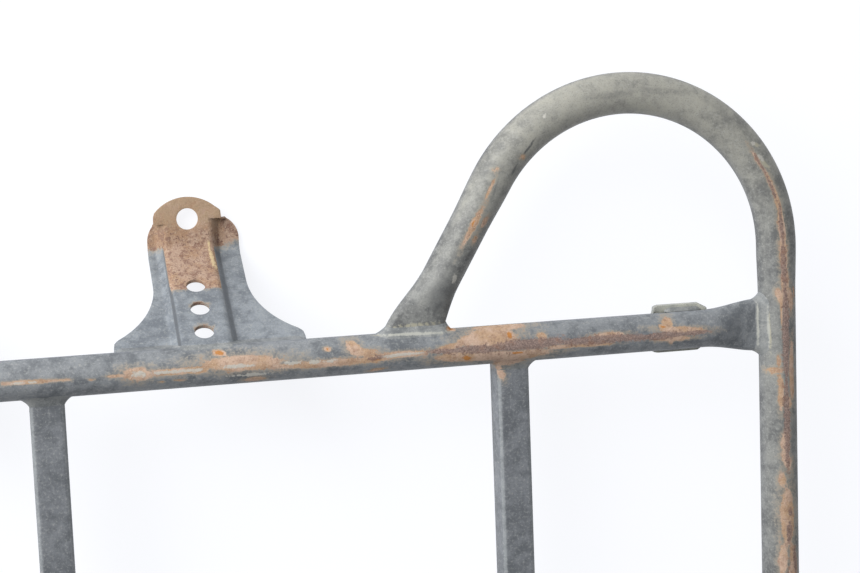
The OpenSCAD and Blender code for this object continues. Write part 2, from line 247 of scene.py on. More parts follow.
# Spots on the front right corner: paint rubbed or rusted through, dried clay, and painted shade. Each has x,
# y, half length, half width in mm, turn in degrees and strength, seen from above. The load rests on the
# tubes' top lines.
# Most of these rows are measured values, computed outside this script, and are neither a rule nor chosen by
# hand.
RUST = [
    (-9, 129.8, 15, 1, -1, 1), (9, 129.6, 5, 0.5, -4, 0.8), (24, 128.7, 3, 0.4, -5, 0.7),
    (37, 129.5, 5, 0.6, -1, 1), (49, 129.6, 8, 3.6, -4, 1), (69, 129.4, 15, 1.9, -1, 1),
    (61, 124, 2.8, 0.6, 0, 0.7), (71, 124.5, 4, 0.4, -5, 0.7), (82, 129.3, 6, 1.9, 3, 1),
    (106, 131.2, 22, 4.2, -2, 1), (94, 137.4, 3, 1.2, -9, 2), (154, 127.7, 36, 1.9, 0, 1),
    (113, 121.4, 6, 1.3, 2, 1), (154, 135.2, 1.8, 1.1, -4, 1.6), (169, 134.8, 5, 3.4, -40, 1),
    (174, 132.1, 8, 1.8, -1, 1), (182, 121.3, 5, 0.9, 7, 0.9), (193, 129.3, 22, 1.7, 1, 1),
    (181, 128.2, 5, 1.8, 3, 1.6), (249, 134.5, 15, 5.6, 0, 1), (255, 140, 16, 1.6, 0, 1),
    (232, 125.5, 16, 3.2, -1, 1), (279, 133.5, 3, 2.4, -15, 1), (267, 123.5, 18, 3, 4, 1),
    (256, 113.2, 5, 1.8, -68, 1), (234, 124.2, 2.7, 1.4, -17, 2), (260, 135.5, 2.2, 0.8, 86, 2),
    (264, 125.2, 4, 0.8, -1, 2), (227, 141, 2, 1.1, -7, 2), (356, 134.9, 4, 3.1, 76, 1),
    (365, 131.3, 15, 1.9, -5, 1), (360, 126.5, 11, 1.4, -1, 1), (224, 131.5, 9, 1.6, 8, 0.9),
    (247, 124.5, 16, 2.6, 2, 1), (236, 134.5, 8, 2.6, 8, 1), (309, 126.6, 14, 1.2, 0, 0.9),
    (320, 131.6, 10, 1.4, 0, 1), (260, 120, 9, 2.5, 4, 1), (290, 127, 10, 1.3, 0, 0.9),
    (358, 125.5, 2.4, 1, -80, 1), (353, 133.8, 1.6, 1.1, -40, 2), (427, 146.8, 5, 1.9, -74, 1),
    (434, 145.1, 7, 2, -86, 1), (437, 149, 2.6, 0.7, -85, 1.5), (428, 137.5, 10, 0.5, -89, 0.9),
    (434, 106.1, 14, 1.5, 87, 1), (426, 108, 3, 1.1, 89, 1), (424, 102.4, 4, 1.9, 2, 1),
    (427, 95, 5, 1.4, -84, 1), (427, 87.6, 10, 1.5, 89, 1), (432, 82.7, 4, 1.7, -83, 1),
    (429, 59.4, 6, 2.5, 80, 1), (430, 47.7, 6, 2.8, -69, 1), (427, 35.8, 4, 2.1, 89, 1),
    (430, 12.8, 19, 4.4, -89, 1), (427, -13.6, 10, 2.5, 89, 1), (434, -14.3, 10, 2.5, -84, 1),
    (415, 227.3, 9, 1.2, -59, 0.9), (422, 214.6, 10, 1.3, -66, 0.9), (427, 202, 12, 1.7, -75, 1),
    (429, 187.9, 13, 2.1, -83, 1), (430, 171.2, 14, 2.4, -88, 1), (430.4, 155, 12, 2.4, -89, 1),
    (434.5, 95, 12, 1.6, 90, 1), (251, 219.7, 6, 0.8, 60, 1), (240, 199.1, 13, 1.5, 59, 1),
    (240, 201.2, 2.4, 0.9, 63, 1.8), (247, 200.9, 4, 1.4, 52, 0.85), (241, 191.8, 3, 1.4, 57, 0.85),
    (255, 230.4, 2, 1.2, -2, 0.9), (271, 236.8, 2.2, 1.4, -3, 0.9),
]
PITTED = [
    (181, 128.4, 5, 1.4, 6, 0.8), (220, 129.5, 10, 1.3, -2, 1), (240, 129.0, 15, 2.2, -1, 1),
    (270, 129.8, 24, 3.0, 1, 1), (315, 129.3, 30, 2.3, 0, 1), (352, 128.8, 16, 1.9, 1, 1),
    (373, 129.1, 10, 1.2, 1, 1), (430.5, 124, 34, 2.0, 90, 1), (430.5, 70.2, 30, 1.9, -90, 1),
    (432, 15.6, 3, 1.4, -85, 0.8), (431, 3.2, 7, 1.8, 87, 1), (435, -14.4, 10, 1.5, -87, 0.8),
    (429, 189, 14, 1.3, -84, 0.9), (430, 165, 16, 1.5, -89, 0.95), (415.5, 227, 9, 0.8, -60, 0.9),
    (423, 212, 10, 0.9, -68, 0.85),
]
BARE = [
    (-15, 129.8, 5, 0.6, -2, 1), (-7, 129.6, 2.7, 0.6, 0, 1), (50, 129.4, 4, 1.6, -1, 1),
    (70, 129.5, 13, 1.1, 0, 1), (80, 129.3, 4, 1.1, 2, 1), (103, 129.9, 12, 0.9, 0, 1),
    (110, 124.4, 12, 0.9, 0, 1), (133, 129.3, 5, 1.1, -2, 1), (146, 128.9, 4, 1.1, 1, 1),
    (155, 128.9, 4, 0.8, 2, 1), (197, 129.2, 12, 0.9, 2, 1), (228.3, 169.8, 2.2, 1.5, 70, 1.2),
    (284.9, 259.7, 1.5, 0.9, 30, 1.1), (412.4, 238.2, 2, 1.2, -40, 1), (416.8, 229.4, 3, 1.1, -55, 1),
]
CLAY = [
    (207, 144.4, 17, 1.0, 2, 1), (203, 139.8, 22, 0.6, -1, 1), (414, 237.4, 3, 1.2, -21, 1),
    (419, 225.9, 4, 1.4, -44, 1), (415.5, 130, 14, 0.8, 90, 1), (421.5, 127, 14, 0.8, 92, 0.95),
]
# Painted shade: dark streaks and patches on the loops, their legs, the rail's right flank and the cross
# tube's pressed end.
SHADE = [
    (274, 240.8, 8, 0.7, 52, 1), (266, 229.8, 5, 1.1, 59, 0.7), (254, 219.5, 9, 1.1, 70, 0.6),
    (322, 269.5, 26, 3.4, 5, 0.5), (356, 270.5, 24, 3.2, -6, 0.5), (388, 261, 16, 2.4, -30, 0.45),
    (221, 163, 17, 10, 60, 0.5), (246, 208, 22, 4, 60, 0.42), (400, 131, 14, 9, 90, 0.42),
    (433, 60, 70, 5, 90, 0.4),
]
MID_Y = (FRONT_Y + REAR_Y) / 2
LOOP_FROM = FRONT_Y + 14


def all_round(spots, seed):
    """The spots of the front right corner, and like ones of other sizes and places on the other three."""
    made, draw = list(spots), np.random.default_rng(seed)
    for flip_x, flip_y in ((-1, 1), (1, -1), (-1, -1)):
        for x, y, length, width, turn, strength in spots:
            on_rail = abs(x) > RAIL_X - 20
            if flip_y < 0 and y > LOOP_FROM or draw.random() < 0.15 or flip_x < 0 and x < 0:
                continue
            slide = draw.normal(0, 9)
            new_x = flip_x * (x + (0 if on_rail or y > LOOP_FROM else slide))
            new_y = y if flip_y > 0 else 2 * MID_Y - y
            size = draw.uniform(0.7, 1.2)
            new_turn = turn * flip_x * flip_y
            new_strength = strength * draw.uniform(0.85, 1)
            made.append((new_x, new_y, length * size, width * size, new_turn, new_strength))
    for side in (-1, 1):
        for y in np.arange(REAR_Y + 120, -20, 17):
            if spots is RUST:
                x = side * RAIL_X + draw.normal(0, 2)
                made.append((x, y + draw.normal(0, 5), draw.uniform(4, 11), draw.uniform(1.2, 3.2), 90, 1))
            elif spots is PITTED and draw.random() < 0.8:
                x = side * (RAIL_X + draw.normal(0, 0.6))
                made.append((x, y, draw.uniform(7, 12), draw.uniform(0.9, 1.6), 90, 1))
    return made


HALO = 0.36
LAYERS = {
    "rust": all_round(RUST, 11), "pitted": all_round(PITTED, 12), "bare": all_round(BARE, 13),
    "clay": all_round(CLAY, 14), "shade": all_round(SHADE, 15),
}


def write_layer(piece, layer, value):
    """Writes one strength for each point of a piece, which the paint reads by the layer's name."""
    found = piece.data.attributes.get(layer) or piece.data.attributes.new(layer, "FLOAT", "POINT")
    found.data.foreach_set("value", value.astype(np.float32))


def wear(piece):
    """Writes each layer's strength to a piece's points, from the spots over its upward faces."""
    mesh = piece.data
    count = len(mesh.vertices)
    place, normal = np.zeros(count * 3), np.zeros(count * 3)
    mesh.vertices.foreach_get("co", place)
    mesh.vertices.foreach_get("normal", normal)
    place = place.reshape(-1, 3) / MM
    faces_up = blend(-0.1, 0.15, normal.reshape(-1, 3)[:, 2])
    for layer, spots in LAYERS.items():
        value = np.zeros(count)
        for x, y, length, width, turn, strength in spots:
            c, s = math.cos(math.radians(turn)), math.sin(math.radians(turn))
            dx, dy = place[:, 0] - x, place[:, 1] - y
            far = np.hypot((dx * c + dy * s) / length, (dy * c - dx * s) / max(width, 0.7))
            value = np.maximum(value, strength * np.clip(1.5 - far, 0, 1))
            # Specks break through around each spot
            value = np.maximum(value, HALO * min(strength, 1) * np.clip(2.4 - far, 0, 1))
        write_layer(piece, layer, value * faces_up)


def coated(tree, colour, coats):
    """Lays coats over a colour: each shows its tone as its source goes from low to high, up to a strength."""
    for source, low, high, strength, tone in coats:
        limits = {"Value": source, "From Min": low, "From Max": high, "To Max": strength}
        share = add(tree, "MapRange", limits, interpolation_type="SMOOTHSTEP").outputs["Result"]
        colour = add(tree, "Mix", {0: share, 6: colour, 7: tone}, data_type="RGBA").outputs[2]
    return colour


def worn_paint(name, dark, light, film, film_share, tan="#c0a490", orange="#ad8c6b", blotched=0.35,
               clay="#b0ab96", scraped="#cbc8bf"):
    """Thin black paint that has greyed, under a film of dust: rubbed off to tan and orange rust, with dark
    pitted rust and bare steel along the lines where loads rested. The colours are the greyed paint's two
    tones, the dust film, the rust's two tones, clay that has dried on it, and scraped steel."""
    made = bpy.data.materials.new(name)
    made.use_nodes = True
    tree = made.node_tree
    shader = tree.nodes["Principled BSDF"]
    place = add(tree, "TexCoord").outputs["Object"]
    up = add(tree, "SeparateXYZ", {0: add(tree, "NewGeometry").outputs["Normal"]}).outputs["Z"]
    forward = add(tree, "SeparateXYZ", {0: place}).outputs["Y"]
    # Clouds of grime about 40 mm across, stains of 13, blotches of 5, grit of 1.5 and specks of 0.8 mm
    patterns = []
    for size, detail in ((40, 3.0), (13, 3.0), (5, 4.0), (1.5, 3.0), (0.8, 2.0)):
        noise = {"Vector": place, "Scale": 1 / (size * MM), "Detail": detail, "Roughness": 0.65}
        patterns.append(add(tree, "TexNoise", noise).outputs["Fac"])
    clouds, stains, blotches, grit, specks = patterns
    mottle = add(tree, "Math", {0: clouds, 1: stains}).outputs[0]
    mottle = add(tree, "Math", {0: blotches, 1: 0.9, 2: mottle}, operation="MULTIPLY_ADD").outputs[0]
    mottle = add(tree, "Math", {0: grit, 1: 0.3, 2: mottle}, operation="MULTIPLY_ADD").outputs[0]
    crumbs = add(tree, "Math", {0: blotches, 1: 0.9, 2: grit}, operation="MULTIPLY_ADD").outputs[0]

    # Each layer's outline is broken up by the blotches and the grit, by as much as its reach
    ragged = {}
    reaches = {"rust": 0.75, "pitted": 0.9, "bare": 1.2, "clay": 0.9, "shade": 0.5, "worn_edge": 0.4}
    for layer, reach in reaches.items():
        strength = add(tree, "Attribute", attribute_name=layer).outputs["Fac"]
        centred = add(tree, "Math", {0: crumbs, 1: 0.95}, operation="SUBTRACT").outputs[0]
        broken = add(tree, "Math", {0: centred, 1: reach, 2: strength}, operation="MULTIPLY_ADD")
        ragged[layer] = broken.outputs[0]

    # Dust lies on what faces up, in patches, and thickest on the loops in front
    facing = add(tree, "MapRange", {"Value": up, "From Min": -0.3, "From Max": 0.5}).outputs["Result"]
    ahead = add(tree, "MapRange", {"Value": forward, "From Min": 0.16, "From Max": 0.27, "To Min": film_share,
                                   "To Max": min(1.0, film_share + 0.55)}).outputs["Result"]
    patches = add(tree, "MapRange", {"Value": mottle, "From Min": 1.3, "From Max": 1.9,
                                     "To Min": 0.5}).outputs["Result"]
    settled = add(tree, "Math", {0: facing, 1: ahead}, operation="MULTIPLY").outputs[0]
    settled = add(tree, "Math", {0: settled, 1: patches}, operation="MULTIPLY").outputs[0]
    # The last coat below is painted shade: a dark grey laid where the shade layer is strong.
    paint = coated(tree, rgb(dark), (
        (mottle, 1.32, 1.85, 1.0, rgb(light)),
        (settled, 0.0, 1.0, 1.0, rgb(film)),
        (grit, 0.50, 0.72, 0.40, rgb("#a9aaa6")),
        (specks, 0.50, 0.72, 0.36, rgb("#4a4d50")),
        (ragged["worn_edge"], 0.3, 1.0, 0.5, rgb("#a3a7a8")),
        (ragged["shade"], 0.35, 0.8, 0.75, rgb("#43464a")),
    ))
    rust = coated(tree, rgb(tan), (
        (stains, 0.40, 0.60, 0.7, rgb(orange)),
        (blotches, 0.48, 0.62, blotched, rgb("#86695a")),
        (grit, 0.52, 0.68, blotched, rgb("#6f5348")),
        (specks, 0.50, 0.70, 0.35, rgb("#d3c2ab")),
        (ragged["rust"], 1.1, 1.5, 0.85, rgb("#b4752f")),
    ))
    pits = coated(tree, rgb("#9d867c"), (
        (grit, 0.44, 0.64, 0.55, rgb("#5c4a44")),
        (specks, 0.42, 0.60, 0.55, rgb("#54433e")),
        (specks, 0.60, 0.76, 0.6, rgb("#c0aea4")),
        (blotches, 0.52, 0.70, 0.4, rgb("#94674c")),
    ))
    colour = coated(tree, paint, (
        (ragged["rust"], 0.12, 0.46, 0.6, rgb("#9f9585")),
        (ragged["rust"], 0.38, 0.62, 1.0, rust),
        (ragged["pitted"], 0.32, 0.66, 0.9, pits),
        (ragged["clay"], 0.35, 0.80, 0.75, rgb(clay)),
        (ragged["bare"], 0.46, 0.72, 0.85, rgb(scraped)),
    ))
    tree.links.new(colour, shader.inputs["Base Color"])

    either = add(tree, "Math", {0: ragged["rust"], 1: ragged["pitted"]}, operation="MAXIMUM").outputs[0]
    corroded = add(tree, "MapRange", {"Value": either, "From Min": 0.42, "From Max": 0.56}).outputs["Result"]
    dull = add(tree, "MapRange", {"Value": corroded, "To Min": 0.55, "To Max": 0.9}).outputs["Result"]
    tree.links.new(dull, shader.inputs["Roughness"])
    steel = add(tree, "MapRange", {"Value": ragged["bare"], "From Min": 0.5, "From Max": 0.7, "To Max": 0.35})
    tree.links.new(steel.outputs["Result"], shader.inputs["Metallic"])
    shader.inputs["IOR"].default_value = 1.5
    # Heights in mm: the paint's orange peel, its 0.1 mm edge around rust, and 0.4 mm of rust scale and pits
    peel = add(tree, "Math", {0: crumbs, 1: 0.04}, operation="MULTIPLY").outputs[0]
    scale = add(tree, "Math", {0: grit, 1: 0.4, 2: -0.3}, operation="MULTIPLY_ADD").outputs[0]
    height = add(tree, "Math", {0: corroded, 1: scale, 2: peel}, operation="MULTIPLY_ADD").outputs[0]
    bump = add(tree, "Bump", {"Height": height, "Distance": MM, "Strength": 0.9})
    tree.links.new(bump.outputs["Normal"], shader.inputs["Normal"])
    return made


def finish_piece(piece, paint, slot, *nodes):
    """Gives a piece its paint and its creases, and lets it stand for its CAD nodes on the one body."""
    piece.data.shade_smooth()
    piece.data.set_sharp_from_angle(angle=CREASE)
    piece.data.materials.append(paint)
    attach(piece, "root")
    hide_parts(*nodes)
    return piece


side_paint = worn_paint("dusty_black_paint", "#56585a", "#7b7d7d", "#a6a499", 0.36)
for side, hand in ((1, "right"), (-1, "left")):
    piece = tube_mesh("side_tube_" + hand + "_painted", *side_path(side))
    wear(piece)
    finish_piece(piece, side_paint, "tube_paint", "side_tube_" + hand)

# ---- Rear tube ----
# The same 22.2 mm tube, with a corner bend at each end. It is butt-welded to the side tubes behind the
# middle of the rack, and carries the two rear brackets.

tube_paint = worn_paint("greyed_black_paint", "#5c6167", "#7f848a", "#a3a198", 0.3)
centres, sideways, outlines = [], [], []
for y in np.arange(JOINT_Y + 1, REAR_Y + BEND_R, -STEP):
    centres.append((RAIL_X, y, AXIS_Z))
    sideways.append((1, 0, 0))
    outlines.append(tube_outline(0))
for a in np.linspace(0, -math.pi / 2, 74):
    out = np.array([math.cos(a), math.sin(a), 0])
    centres.append(np.array([RAIL_X - BEND_R, REAR_Y + BEND_R, AXIS_Z]) + BEND_R * out)
    sideways.append(out)
    outlines.append(tube_outline(0, OVAL))
for x in np.arange(RAIL_X - BEND_R - STEP, 0, -STEP):
    centres.append((x, REAR_Y, AXIS_Z))
    sideways.append((0, -1, 0))
    outlines.append(tube_outline(0, OVAL * blend(RAIL_X - BEND_R - 30, RAIL_X - BEND_R, x)))
centres, sideways = np.array(centres), np.array(sideways, float)
flip = np.array([-1, 1, 1])
centres = np.vstack([centres, centres[::-1] * flip])
sideways = np.vstack([sideways, sideways[::-1] * flip])
piece = tube_mesh("rear_tube_painted", centres, sideways, outlines + outlines[::-1])
wear(piece)
finish_piece(piece, tube_paint, "tube_paint", "rear_tube")

# ---- Front cross tube ----
# Straight tube with both ends pressed flat in the plane of the rack, and welded against the side rails.

reach = RAIL_X - 6.0
stations = np.unique(np.append(np.arange(-reach, reach, STEP), reach))
piece = tube_mesh(
    "front_cross_tube_painted",
    [(x, FRONT_Y, AXIS_Z) for x in stations],
    [(0, 1, 0)] * len(stations),
    [tube_outline(pressed_at(RAIL_X - abs(x))) for x in stations],
)
wear(piece)
finish_piece(piece, tube_paint, "tube_paint", "front_cross_tube")

# ---- Slats ----
# Three lengths of 19 mm square tube, coped and welded between the front cross tube and the rear tube, their
# top faces 1.5 mm above the tubes' axes. The paint has kept better on them, and is worn along their edges.

SLAT_W = 19.0
SLAT_R = 2.6
SLAT_PITCH = 264.0
SLAT_TOP = AXIS_Z + 1.5
slat_paint = worn_paint("slat_black_paint", "#5d6166", "#767a80", "#8b8a84", 0.25)


def square_outline():
    """Outline of the square tube, with close points beside each round corner so that its faces stay flat."""
    flat = SLAT_W / 2 - SLAT_R
    runs = [-flat, -flat + 0.5, -flat * 0.6, -flat * 0.2, flat * 0.2, flat * 0.6, flat - 0.5]
    made = []
    for k in range(4):
        c, s = math.cos(k * math.pi / 2), math.sin(k * math.pi / 2)
        side_points = [(SLAT_W / 2, v) for v in runs]
        for a in np.linspace(0, math.pi / 2, 7)[:-1]:
            side_points.append((flat + SLAT_R * math.cos(a), flat + SLAT_R * math.sin(a)))
        made += [(u * c - v * s, u * s + v * c) for u, v in side_points]
    return np.array(made)


SLAT_MIDDLE = SLAT_TOP - SLAT_W / 2
INTO_TUBE = 3.5
slat_stations = np.linspace(REAR_Y + INTO_TUBE, FRONT_Y - INTO_TUBE, 160)
for i, place_name in ((-1, "left"), (0, "centre"), (1, "right")):
    piece = tube_mesh(
        "slat_" + place_name + "_painted",
        [(i * SLAT_PITCH, y, SLAT_MIDDLE) for y in slat_stations],
        [(-1, 0, 0)] * len(slat_stations),
        [square_outline()] * len(slat_stations),
    )
    wear(piece)
    points = np.array([v.co for v in piece.data.vertices]) / MM - [i * SLAT_PITCH, 0, SLAT_MIDDLE]
    corner = np.minimum(np.abs(points[:, 0]), np.abs(points[:, 2])) / (SLAT_W / 2)
    edge = blend(0.70, 0.86, corner) * 0.8
    write_layer(piece, "worn_edge", edge)
    finish_piece(piece, slat_paint, "slat_paint", "slat_" + place_name)

# ---- Mounting brackets ----
# Each bracket is a pressing in 2.3 mm sheet: a raised web between two flanges, running down from its tube to
# a bent foot with a bolt hole in a round tab. The web has three holes. The feet have lost their paint.

BRACKET_X = 88.0
SHEET = 2.3
SLOPE = math.radians(56)
WEB_REACH = 9.8
WEB_HALF = 13.25
HAT = 6.0
WALL_RUN = HAT * math.tan(math.radians(38))
FLANGE_HALF = 27.0
FLANGE_SHIFT = 3.5
BASE_HALF = 53.5
FLARE_R = 55.0
FLARE_S = 66.0
SHEET_START = 3.0
FOLD_R = 6.0
FOOT_Z = HAT + SHEET / 2 - AXIS_Z
BEND_S = (WEB_REACH * math.cos(SLOPE) - FOOT_Z) / math.sin(SLOPE)
BEND_Y = BEND_S * math.cos(SLOPE) + WEB_REACH * math.sin(SLOPE)
FOLD_FROM = BEND_S - FOLD_R * math.tan(SLOPE / 2)
FOLD_TO = FOLD_FROM + FOLD_R * SLOPE
LOBE_R = 14.0
EAR_HALF = 20.0
TAB_R = 25.0
WEB_HOLES = [(0.0, 16.4 + 20 * i, 5.5) for i in range(3)]
BOLT_Y, BOLT_R = 77.0, 6.35
HOLE_SIDES = 40


def along(y):
    """Distance down the developed sheet of a point in the foot, from its distance forward of the tube."""
    return FOLD_TO + y - BEND_Y - FOLD_R * math.tan(SLOPE / 2)


def hat_height(x, t):
    """Height of the sheet from the web, in mm: the flanges lie 6 mm lower, up to the slits beside the tab."""
    spread = np.linspace(-1.3, 1.3, 9)
    drop = np.mean([np.clip((np.abs(x + d) - WEB_HALF) / WALL_RUN, 0, 1) for d in spread], 0)
    sheared = np.where(x < 0, SLIT_LEFT, SLIT_RIGHT)
    return -HAT * np.where(t > sheared + SLIT / 2, 0, drop)


def bent(x, t):
    """A point of the developed sheet in the bracket's own frame, with the tube's centre line on X."""
    h = hat_height(x, t)
    fold = np.clip((t - FOLD_FROM) / FOLD_R, 0, SLOPE)
    rest = np.maximum(t - FOLD_TO, 0)
    down = np.minimum(t, FOLD_FROM)
    y0 = down * math.cos(SLOPE) + WEB_REACH * math.sin(SLOPE)
    z0 = -down * math.sin(SLOPE) + WEB_REACH * math.cos(SLOPE)
    centre_y, centre_z = FOLD_R * math.sin(SLOPE), FOLD_R * math.cos(SLOPE)
    angle = SLOPE - fold
    y = y0 + centre_y - (FOLD_R - h) * np.sin(angle) + rest
    z = z0 + centre_z - (FOLD_R - h) * np.cos(angle)
    return np.stack([x, y, z], -1)


SLIT_LEFT, SLIT_RIGHT, SLIT = along(74.2), along(76.4), 0.3


def bracket_outline():
    """The developed sheet's edge, from the right of its base round the tab to the left."""
    right = [(BASE_HALF, SHEET_START), (BASE_HALF, 9.0), (BASE_HALF, 14.0)]
    corner_s = FLARE_S - math.sqrt(FLARE_R ** 2 - (FLANGE_HALF + FLARE_R - BASE_HALF) ** 2)
    right += [(BASE_HALF - 0.5, corner_s - 1.2), (BASE_HALF - 1.8, corner_s + 0.6)]
    for s in np.linspace(corner_s + 2, FLARE_S, 16):
        right.append((FLANGE_HALF + FLARE_R - math.sqrt(FLARE_R ** 2 - (FLARE_S - s) ** 2), s))
    right += [(FLANGE_HALF, t) for t in np.arange(FLARE_S + 3, along(64) - 1, 3)]
    lobe = []
    for a in np.linspace(0, 1.5, 14):
        lobe.append((FLANGE_HALF - LOBE_R + LOBE_R * math.cos(a), along(64) + LOBE_R * math.sin(a)))
    made = []
    for hand in (1, -1):
        slit = SLIT_RIGHT if hand > 0 else SLIT_LEFT
        flank = [(FLANGE_SHIFT + hand * u, t) for u, t in right]
        for u, t in lobe:
            if abs(FLANGE_SHIFT + hand * u) > EAR_HALF + 0.05 and t < slit + 0.3:
                flank.append((FLANGE_SHIFT + hand * u, t))
        edge_x = abs(flank[-1][0])
        flank.append((hand * max(edge_x - 0.3, EAR_HALF), slit))
        flank.append((hand * EAR_HALF, slit + SLIT))
        # The right ear's corner stands out square, and the left one is rounded off
        if hand > 0:
            flank += [(19.6, along(81.2)), (18.6, along(82.3))]
        else:
            flank += [(-19.8, along(79.0)), (-19.2, along(80.6))]
        for a in np.linspace(0.86 if hand > 0 else 0.70, math.pi / 2, 12)[:-1]:
            flank.append((hand * TAB_R * math.cos(a), along(65 + TAB_R * math.sin(a))))
        made.append(flank)
    return made[0] + [(0.0, along(65 + TAB_R))] + made[1][::-1]


def inside(ring, x, t):
    """Whether a point lies within a closed outline."""
    crossings = 0
    for i in range(len(ring)):
        (ax, at), (bx, bt) = ring[i], ring[(i + 1) % len(ring)]
        if (at > t) != (bt > t) and x < ax + (t - at) / (bt - at) * (bx - ax):
            crossings += 1
    return crossings % 2 == 1


def bracket_mesh(name):
    """The pressed sheet: its developed shape is cut into triangles, bent into place and given a thickness."""
    outline = bracket_outline()
    holes = WEB_HOLES + [(0.0, along(BOLT_Y), BOLT_R)]
    points, edges = list(outline), [(i, (i + 1) % len(outline)) for i in range(len(outline))]
    for x, t, r in holes:
        first = len(points)
        turns = np.linspace(0, 2 * math.pi, HOLE_SIDES + 1)[:-1]
        points += [(x + r * math.cos(a), t + r * math.sin(a)) for a in turns]
        edges += [(first + i, first + (i + 1) % HOLE_SIDES) for i in range(HOLE_SIDES)]
    for hand, slit in ((1, SLIT_RIGHT), (-1, SLIT_LEFT)):
        for t in (slit, slit + SLIT):
            first = len(points)
            row = [(hand * x, t) for x in np.arange(WEB_HALF - 0.4, EAR_HALF - 0.1, 0.7)]
            points += row
            edges += [(first + i, first + i + 1) for i in range(len(row) - 1)]
    # Inner points lie close together over the drafted walls and round the fold, and wide apart on the flats
    columns = [0, 4, 8, 10.6, 11.4, 12.1, 12.8, 13.5, 14.3, 15.2, 16.1, 16.9, 17.6, 18.3, 19.1, 20.5,
               24, 27, 31, 36, 41, 46, 51]
    rows = np.concatenate([np.arange(SHEET_START + 1.5, FOLD_FROM, 3.0), np.arange(FOLD_FROM, FOLD_TO, 0.7),
                           np.arange(FOLD_TO, along(89), 2.0)])
    ring = np.array(outline)
    for t in rows:
        for x in sorted(set(columns) | {-c for c in columns}):
            gaps = np.hypot(ring[:, 0] - x, ring[:, 1] - t)
            clear = all(math.hypot(x - hx, t - ht) > r + 0.8 for hx, ht, r in holes)
            slit = SLIT_LEFT if x < 0 else SLIT_RIGHT
            off_slit = abs(x) < WEB_HALF - 1 or abs(t - slit) > 0.9
            if gaps.min() > 1.1 and clear and off_slit and inside(ring, x, t):
                points.append((x, t))
    verts, _, faces, *_ = delaunay_2d_cdt([tuple(map(float, p)) for p in points], edges, [], 0, 1e-5)
    flat = np.array([tuple(v) for v in verts])
    kept = []
    for f in faces:
        x, t = flat[list(f)].mean(0)
        slit = SLIT_LEFT if x < 0 else SLIT_RIGHT
        in_hole = any(math.hypot(x - hx, t - ht) < r * 0.995 for hx, ht, r in holes)
        in_slit = abs(x) > WEB_HALF and slit < t < slit + SLIT
        if inside(ring, x, t) and not in_hole and not in_slit:
            kept.append(tuple(f))
    used = sorted({i for f in kept for i in f})
    index = {old: new for new, old in enumerate(used)}
    flat = flat[used]
    middle = bent(flat[:, 0], flat[:, 1])
    made = piece_from(name, middle, [tuple(index[i] for i in f) for f in kept])
    thick = made.modifiers.new("sheet", "SOLIDIFY")
    thick.thickness = SHEET * MM
    thick.offset = 0
    thick.use_even_offset = False
    soft = made.modifiers.new("rolled_edge", "BEVEL")
    soft.width = 0.35 * MM
    soft.segments = 2
    soft.limit_method = "ANGLE"
    soft.angle_limit = math.radians(50)
    return made, flat


def apply_modifiers(piece):
    """Turns a piece's modifiers into its mesh."""
    depsgraph = bpy.context.evaluated_depsgraph_get()
    done = bpy.data.meshes.new_from_object(piece.evaluated_get(depsgraph))
    piece.modifiers.clear()
    piece.data = done
    return piece


bracket_paint = worn_paint("bracket_black_paint", "#686e75", "#888e94", "#9c9e9b", 0.2, tan="#ac917e",
                           orange="#9c7a5c", blotched=0.95, clay="#ae967a", scraped="#dfcba2")
for side, hand in ((1, "right"), (-1, "left")):
    for y, end in ((FRONT_Y, "front"), (REAR_Y, "rear")):
        piece, developed = bracket_mesh(end + "_bracket_" + hand + "_pressed")
        x, t = developed[:, 0], developed[:, 1]
        # The paint is lost above the first hole in the web, and past the fold on the flanges
        flange_edge = np.where(x < 0, 93.0, 92.0 + 0.15 * (x - WEB_HALF))
        edge_t = np.where(np.abs(x) < WEB_HALF + 0.4, 53.5, flange_edge)
        lost = blend(edge_t - 4, edge_t + 4, t)
        for hole_x, hole_t, hole_r in WEB_HOLES:
            rim = np.hypot(x - hole_x, t - hole_t) - hole_r
            lost = np.maximum(lost, 0.52 * blend(1.0, 0.0, rim) * blend(-1, 3, t - hole_t))
        clay = 0.66 * blend(along(60), along(78), t) * blend(EAR_HALF + 2, EAR_HALF - 1, np.abs(x))
        # Painted shade: the web's left wall is darkened, and so are the right wall and the flange beside it,
        # where the raised web casts its shadow; it is weaker where the paint is lost.
        left_foot = blend(1.5, 0.4, np.abs(x + WEB_HALF + 0.5))
        right_wall = blend(3.4, 1.6, np.abs(x - WEB_HALF - 2.7)) * (0.75 - 0.45 * lost)
        painted_wall_shade = 0.75 * np.maximum(left_foot, right_wall)
        scraped = np.zeros(len(x))
        if (end, hand) == ("front", "right"):
            # A scraped streak beside the web's right edge, and a small pale spot above it
            streak = blend(2.0, 0.4, np.abs(x - 12.2 + 0.05 * (t - 80)))
            streak = streak * blend(60, 76, t) * blend(102, 92, t)
            pale_spot = blend(1.6, 0.5, np.hypot((x - 9.6) * 1.6, (t - along(70)) * 0.7))
            scraped = np.maximum(0.72 * streak, 1.3 * pale_spot)
        for layer, value in (("rust", lost), ("clay", clay), ("shade", painted_wall_shade), ("bare", scraped)):
            write_layer(piece, layer, value)
        apply_modifiers(piece)
        piece.data.transform(Matrix.Translation((BRACKET_X * MM, y * MM, AXIS_Z * MM)))
        if side < 0:
            piece.data.transform(Matrix.Diagonal((-1, 1, 1, 1)))
            piece.data.flip_normals()
        finish_piece(piece, bracket_paint, "bracket_paint", end + "_bracket_" + hand)

# ---- Saddle plates ----
# A short pressed plate in 2.2 mm steel hugs the underside of the cross tube near each end, welded along both
# lips. Its front lip stands clear of the tube and is covered with dried mud.

SADDLE_X = RAIL_X - 60
SADDLE_Y = FRONT_Y + 0.4
SADDLE_SHEET = 2.2
saddle_paint = worn_paint("muddy_saddle_paint", "#85888a", "#a9aba6", "#bdbdb0", 0.9)


